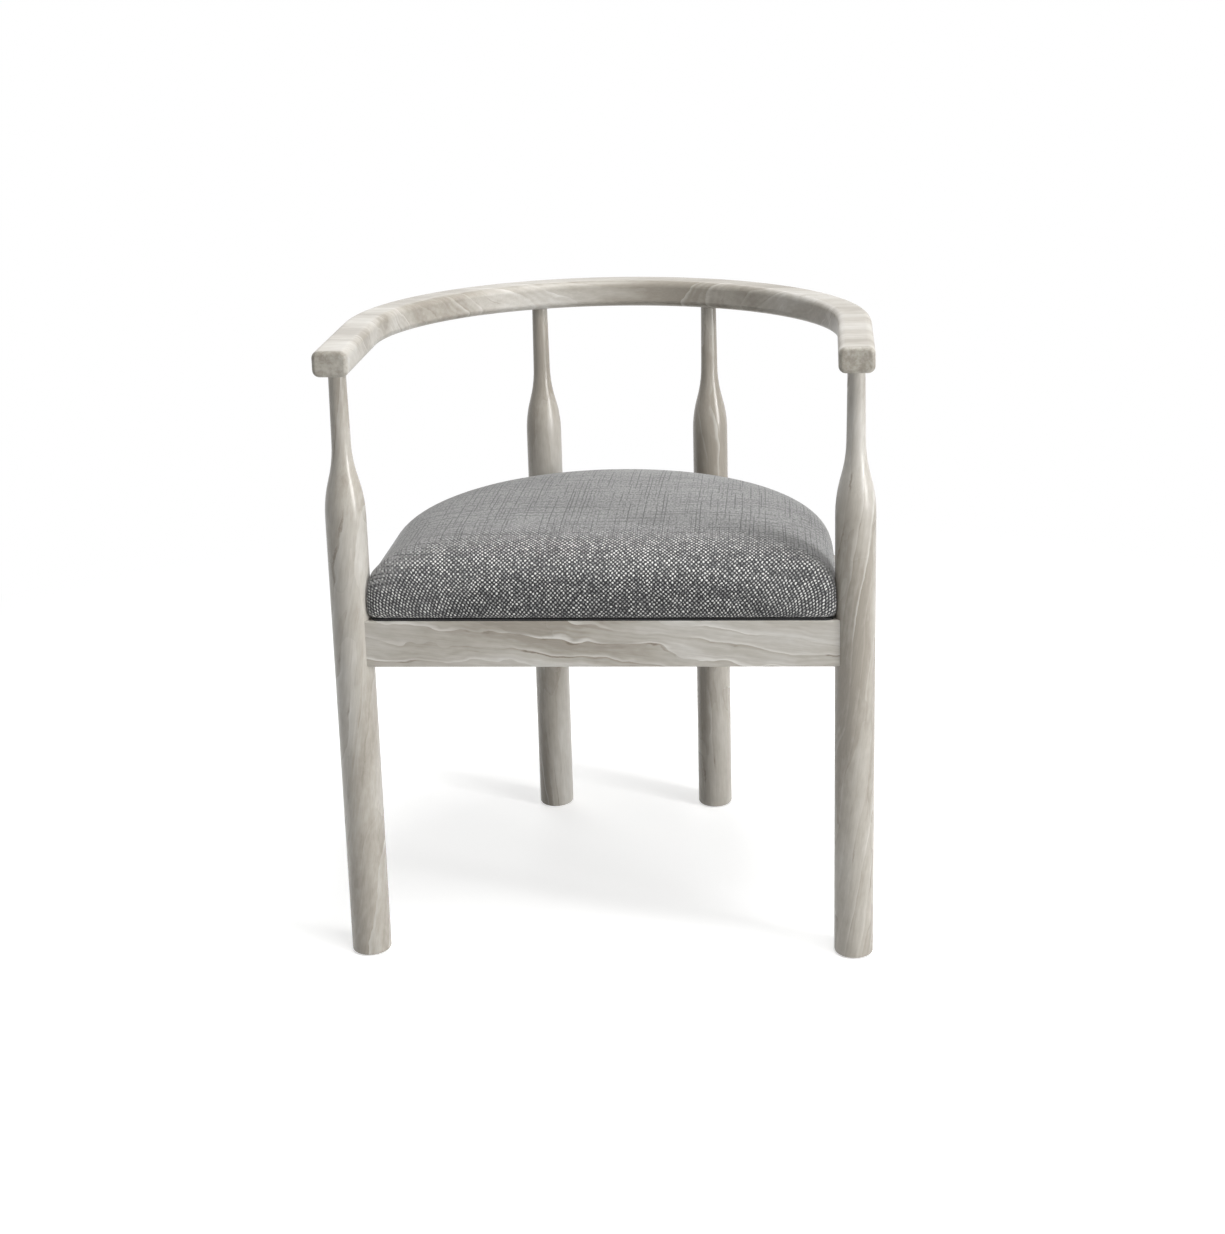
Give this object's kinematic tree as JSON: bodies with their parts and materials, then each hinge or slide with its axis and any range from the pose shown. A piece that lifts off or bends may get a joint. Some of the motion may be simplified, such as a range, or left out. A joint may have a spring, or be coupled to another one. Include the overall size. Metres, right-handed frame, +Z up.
{
  "type": "horseshoe back armchair",
  "caption": "Armchair with a horseshoe rail that is arms and back in one, on turned posts with drawn-in necks, and a crowned slip seat in woven cloth.",
  "frame": {"origin": "on the floor, under the middle of the chair's bounding box", "axes": "+Z up; the chair's front, where the arm tips are, faces -Y; +X points to the right of a viewer who stands in front; left and right in node names are that viewer's"},
  "size_m": [0.6186, 0.4992, 0.7322],
  "materials": {
    "limed_wood": "limed, satin lacquer",
    "dowel_wood": "bare",
    "block_wood": "bare, sawn",
    "plywood": "bare, sanded",
    "foam": "matt foam",
    "woven_cover": "black and white basket weave",
    "dust_cloth": "matt black cambric",
    "screw_steel": "zinc plated",
    "glide_nylon": "moulded nylon"
  },
  "bodies": {
    "root": {"front_left_leg": "limed_wood", "front_right_leg": "limed_wood", "rear_left_leg": "limed_wood", "rear_right_leg": "limed_wood", "front_left_glide": "glide_nylon", "front_right_glide": "glide_nylon", "rear_left_glide": "glide_nylon", "rear_right_glide": "glide_nylon", "back_rail": "limed_wood", "left_arm_rail": "limed_wood", "right_arm_rail": "limed_wood", "rail_joint_dowels": "dowel_wood", "front_seat_rail": "limed_wood", "left_seat_rail": "limed_wood", "right_seat_rail": "limed_wood", "rear_seat_rail": "limed_wood", "front_left_corner_block": "block_wood", "front_right_corner_block": "block_wood", "rear_left_corner_block": "block_wood", "rear_right_corner_block": "block_wood", "corner_block_screws": "screw_steel", "seat_screws": "screw_steel", "seat_board": "plywood", "seat_foam": "foam", "seat_cover": "woven_cover", "seat_dust_cover": "dust_cloth"}
  },
  "joints": []
}
